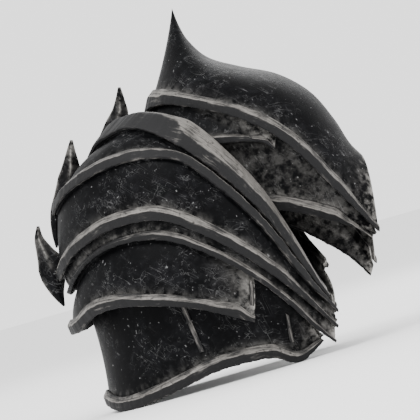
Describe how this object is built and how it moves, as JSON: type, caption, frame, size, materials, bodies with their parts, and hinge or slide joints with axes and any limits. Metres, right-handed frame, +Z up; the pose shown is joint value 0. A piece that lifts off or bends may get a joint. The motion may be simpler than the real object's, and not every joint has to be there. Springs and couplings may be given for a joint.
{
  "type": "pauldron",
  "caption": "Steel pauldron of overlapping blackened lames with worn raised rims, curved horns on the outer ridge and a tall peak on the cap.",
  "frame": {"origin": "middle of the part's box, on the floor it stands on", "axes": "+Z up, along the longest extent; -X towards the outer ridge with the horns, +X towards the neck; +-Y across, the shortest extent"},
  "size_m": [0.306, 0.2346, 0.3349],
  "materials": {
    "blackened_steel": "blackened, mottled, finely scratched",
    "worn_steel": "worn bright, streaked"
  },
  "bodies": {
    "root": {"cap_plate": "blackened_steel", "cap_rim": "worn_steel", "collar_upper_plate": "blackened_steel", "collar_upper_rim": "worn_steel", "collar_lower_plate": "blackened_steel", "collar_lower_rim": "worn_steel", "shoulder_plate": "blackened_steel", "shoulder_rim": "worn_steel", "upper_arm_plate": "blackened_steel", "upper_arm_rim": "worn_steel", "middle_plate": "blackened_steel", "middle_rim": "worn_steel", "under_plate": "blackened_steel", "under_rim": "worn_steel", "lower_plate": "blackened_steel", "lower_rim": "worn_steel", "foot_plate": "blackened_steel", "foot_rim": "worn_steel", "foot_seam_front": "worn_steel", "foot_seam_back": "worn_steel", "foot_end_seam_front": "worn_steel", "foot_end_seam_back": "worn_steel", "lower_end_front": "worn_steel", "lower_end_back": "worn_steel", "seat_post_front": "blackened_steel", "seat_post_back": "blackened_steel"}
  },
  "joints": []
}
